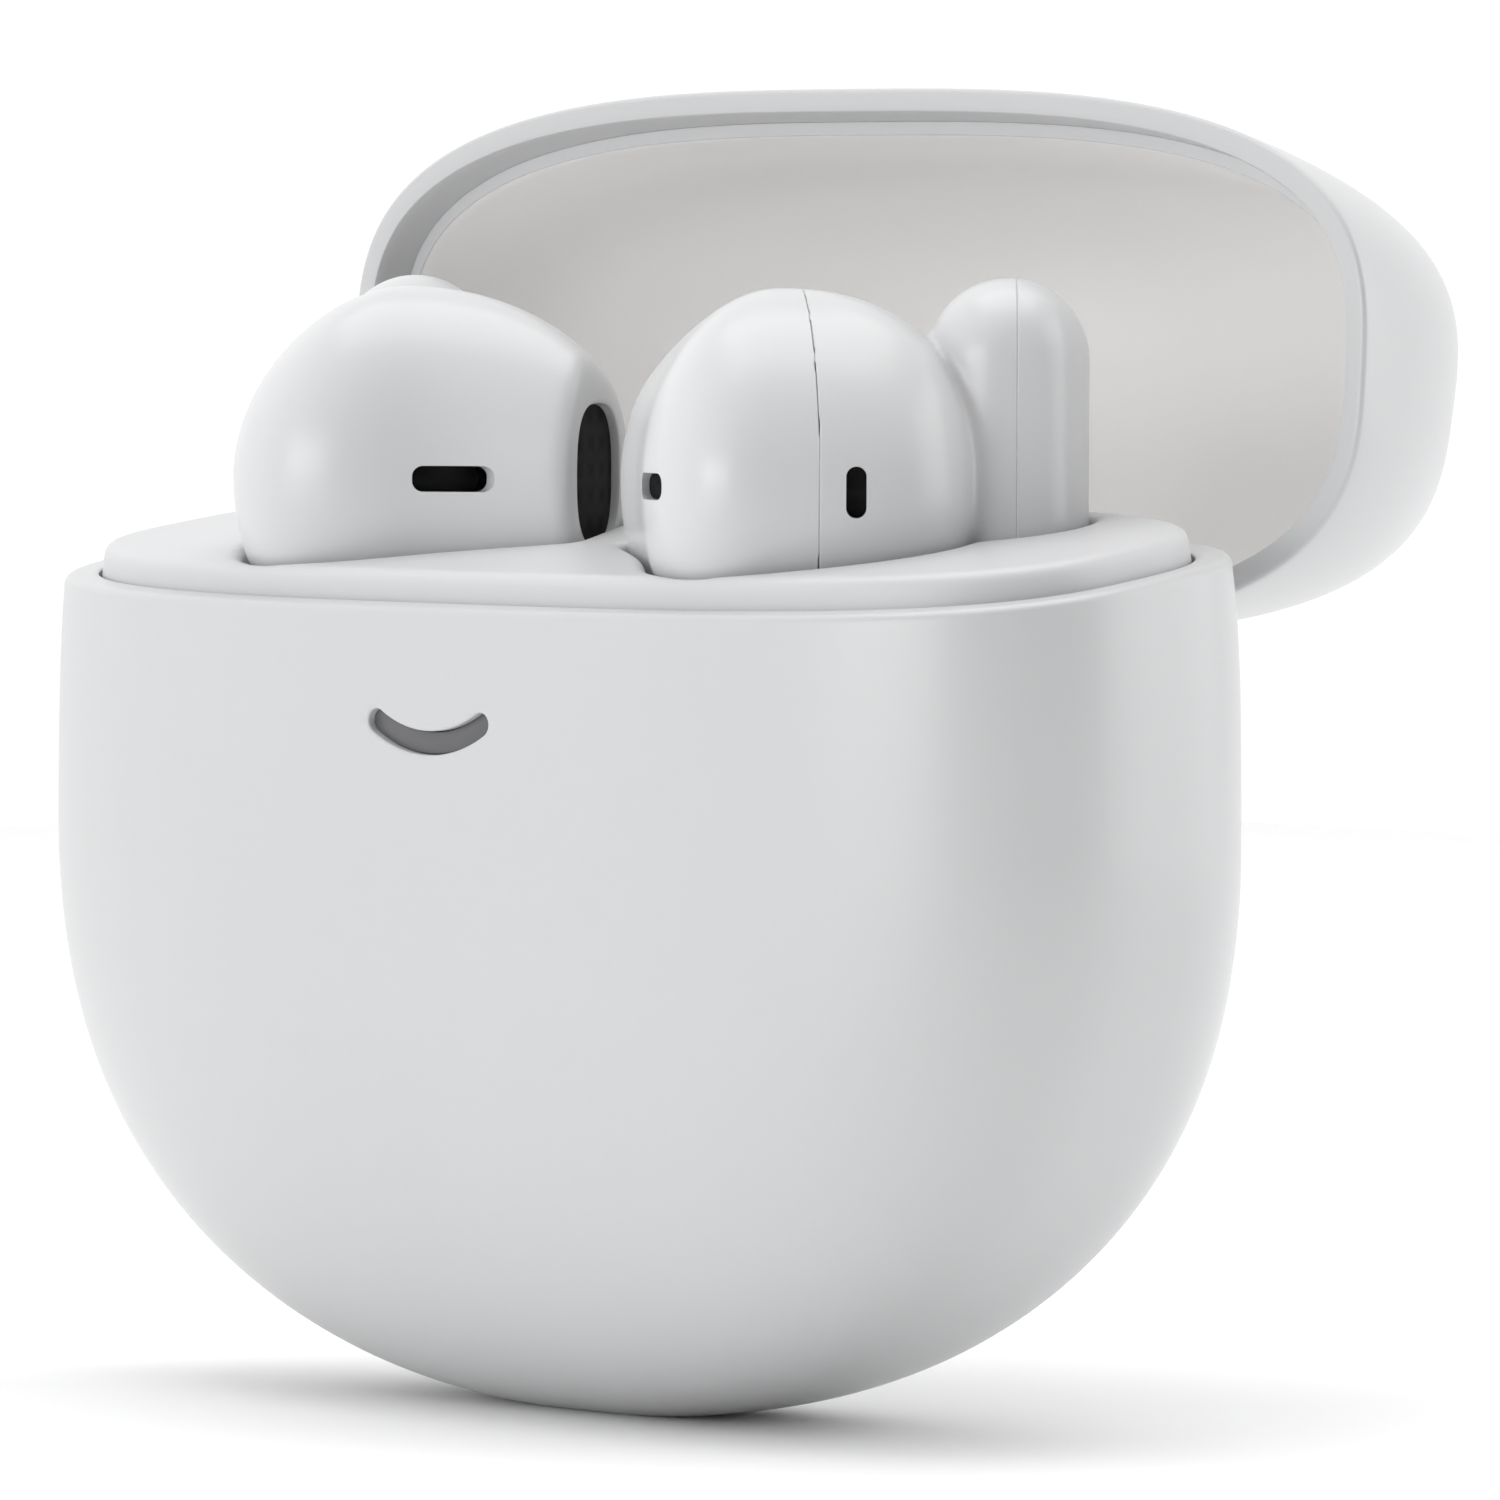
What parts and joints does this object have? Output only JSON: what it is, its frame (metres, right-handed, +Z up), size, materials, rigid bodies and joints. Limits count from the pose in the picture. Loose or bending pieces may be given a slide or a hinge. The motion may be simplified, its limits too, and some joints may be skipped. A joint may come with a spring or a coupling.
{
  "type": "wireless earbuds case",
  "caption": "Pebble-shaped charging case for wireless earbuds, with a hinged lid, a tray, a status light and stem-type buds that lift out of their pockets.",
  "frame": {"origin": "centre of the flat spot under the case", "axes": "+Z up, -Y out of the front face with the status light, +X towards the right bud as seen from the front"},
  "size_m": [0.0552, 0.0359, 0.0497],
  "materials": {
    "case_plastic": "satin white",
    "tray_plastic": "satin white",
    "liner_plastic": "satin white",
    "bud_plastic": "satin white",
    "light_window": "smoked, translucent",
    "led_body": "clear",
    "circuit_board": "solder mask",
    "black_plastic": "moulded",
    "battery_foil": "foil",
    "speaker_mesh": "black woven mesh",
    "gold_contact": "gold plate",
    "magnet_nickel": "nickel plate",
    "driver_metal": "plain",
    "steel": "plain"
  },
  "bodies": {
    "case": {"body_shell": "case_plastic", "tray": "tray_plastic", "light_guide": "light_window", "status_led": "led_body", "front_board": "circuit_board", "hall_sensor": "black_plastic", "main_board": "circuit_board", "case_battery": "battery_foil", "usb_shell": "steel", "usb_tongue": "black_plastic", "charge_board_left": "circuit_board", "charge_board_right": "circuit_board", "pogo_barrels_left": "gold_contact", "pogo_barrels_right": "gold_contact", "hinge_bracket": "steel", "hinge_pin": "steel", "hinge_springs": "steel", "closing_magnets": "magnet_nickel", "bud_holding_magnets": "magnet_nickel", "tray_screws": "steel"},
    "lid": {"lid_shell": "case_plastic", "lid_liner": "liner_plastic", "lid_hinge_arm": "steel", "lid_magnets": "magnet_nickel", "arm_screws": "steel"},
    "right_bud": {"right_inner_housing": "bud_plastic", "right_outer_housing": "bud_plastic", "right_stem_cover": "bud_plastic", "right_end_cap": "bud_plastic", "right_nozzle_mesh": "speaker_mesh", "right_front_vent_mesh": "speaker_mesh", "right_side_vent_mesh": "speaker_mesh", "right_contacts": "gold_contact", "right_driver": "driver_metal", "right_bud_battery": "battery_foil", "right_bud_board": "circuit_board", "right_microphone": "driver_metal", "right_bud_magnet": "magnet_nickel"},
    "left_bud": {"left_inner_housing": "bud_plastic", "left_outer_housing": "bud_plastic", "left_stem_cover": "bud_plastic", "left_end_cap": "bud_plastic", "left_nozzle_mesh": "speaker_mesh", "left_front_vent_mesh": "speaker_mesh", "left_side_vent_mesh": "speaker_mesh", "left_contacts": "gold_contact", "left_driver": "driver_metal", "left_bud_battery": "battery_foil", "left_bud_board": "circuit_board", "left_microphone": "driver_metal", "left_bud_magnet": "magnet_nickel"},
    "pogo_pin_left_outer_body": {"pogo_pin_left_outer": "gold_contact"},
    "pogo_pin_left_inner_body": {"pogo_pin_left_inner": "gold_contact"},
    "pogo_pin_right_outer_body": {"pogo_pin_right_outer": "gold_contact"},
    "pogo_pin_right_inner_body": {"pogo_pin_right_inner": "gold_contact"}
  },
  "joints": [
    {"name": "lid_hinge", "type": "hinge", "parent": "case", "child": "lid", "pos_m": [0, 0.00854, 0.03101], "axis": [-1, 0, 0], "range_deg": [-100.4, 0]},
    {"name": "right_bud_lift", "type": "slide", "parent": "case", "child": "right_bud", "axis": [0, 0, 1], "range_m": [0, 0.04]},
    {"name": "left_bud_lift", "type": "slide", "parent": "case", "child": "left_bud", "axis": [0, 0, 1], "range_m": [0, 0.04]},
    {"name": "pogo_left_outer_press", "type": "slide", "parent": "case", "child": "pogo_pin_left_outer_body", "axis": [0, 0, -1], "range_m": [0, 0.0004], "stiffness_N_per_m": 600, "springref_m": -0.0004},
    {"name": "pogo_left_inner_press", "type": "slide", "parent": "case", "child": "pogo_pin_left_inner_body", "axis": [0, 0, -1], "range_m": [0, 0.0004], "stiffness_N_per_m": 600, "springref_m": -0.0004},
    {"name": "pogo_right_outer_press", "type": "slide", "parent": "case", "child": "pogo_pin_right_outer_body", "axis": [0, 0, -1], "range_m": [0, 0.0004], "stiffness_N_per_m": 600, "springref_m": -0.0004},
    {"name": "pogo_right_inner_press", "type": "slide", "parent": "case", "child": "pogo_pin_right_inner_body", "axis": [0, 0, -1], "range_m": [0, 0.0004], "stiffness_N_per_m": 600, "springref_m": -0.0004}
  ]
}
